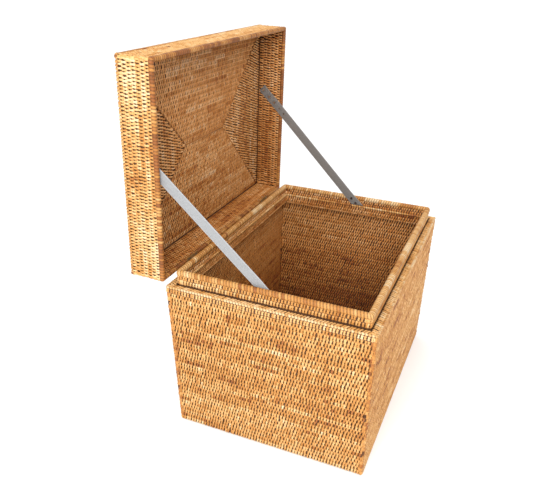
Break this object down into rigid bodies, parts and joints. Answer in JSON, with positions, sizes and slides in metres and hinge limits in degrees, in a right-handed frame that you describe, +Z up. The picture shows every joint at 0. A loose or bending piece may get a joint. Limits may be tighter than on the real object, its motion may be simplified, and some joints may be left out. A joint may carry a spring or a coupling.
{
  "type": "woven storage trunk",
  "caption": "Rectangular woven rattan trunk with a recessed collar and a hinged box lid, held open by webbing straps.",
  "frame": {"origin": "on the floor, under the middle of the body's footprint at the ledge", "axes": "+Z up, -Y the front, +Y the hinge side, +X along the hinge to the right seen from the front"},
  "size_m": [0.61, 0.5194, 0.7993],
  "materials": {
    "woven_cane": "woven natural rattan, semi-matt",
    "pale_cane": "wrapped pale rattan, semi-matt",
    "cane": "plain rattan, round rods and squared posts, matt",
    "timber": "planed wood, matt",
    "webbing": "flat woven tape, matt",
    "brass": "satin",
    "steel": "satin"
  },
  "bodies": {
    "trunk": {"floor_panel": "woven_cane", "bottom_brace": "timber", "bottom_rail_front": "timber", "bottom_rail_back": "timber", "bottom_rail_left": "timber", "bottom_rail_right": "timber", "wall_front": "woven_cane", "wall_back": "woven_cane", "wall_left": "woven_cane", "wall_right": "woven_cane", "post_front_left": "cane", "post_front_right": "cane", "post_back_left": "cane", "post_back_right": "cane", "ledge_rail_front": "timber", "ledge_rail_back": "timber", "ledge_rail_left": "timber", "ledge_rail_right": "timber", "ledge_cover": "woven_cane", "inner_bead": "pale_cane", "collar_front": "woven_cane", "collar_back": "woven_cane", "collar_left": "woven_cane", "collar_right": "woven_cane", "collar_rim_front": "pale_cane", "collar_rim_back": "pale_cane", "collar_rim_left": "pale_cane", "collar_rim_right": "pale_cane", "hinge_leaf_body_left": "brass", "hinge_leaf_body_right": "brass", "hinge_pin_left": "steel", "hinge_pin_right": "steel", "hinge_screws_body": "steel", "strap_screws_body": "steel", "strap_left": "webbing", "strap_right": "webbing"},
    "lid": {"lid_panel": "woven_cane", "lid_wall_front": "woven_cane", "lid_wall_back": "woven_cane", "lid_wall_left": "woven_cane", "lid_wall_right": "woven_cane", "lid_rod_front": "cane", "lid_rod_back": "cane", "lid_rod_left": "cane", "lid_rod_right": "cane", "lid_post_front_left": "cane", "lid_post_front_right": "cane", "lid_post_back_left": "cane", "lid_post_back_right": "cane", "lid_rim_front": "pale_cane", "lid_rim_back": "pale_cane", "lid_rim_left": "pale_cane", "lid_rim_right": "pale_cane", "hinge_leaf_lid_left": "brass", "hinge_leaf_lid_right": "brass", "hinge_screws_lid": "steel", "strap_screws_lid": "steel"}
  },
  "joints": [
    {"name": "lid_hinge", "type": "hinge", "parent": "trunk", "child": "lid", "pos_m": [0, 0.223, 0.358], "axis": [1, 0, 0], "range_deg": [0, 89], "deforming": ["strap_left", "strap_right"]}
  ]
}
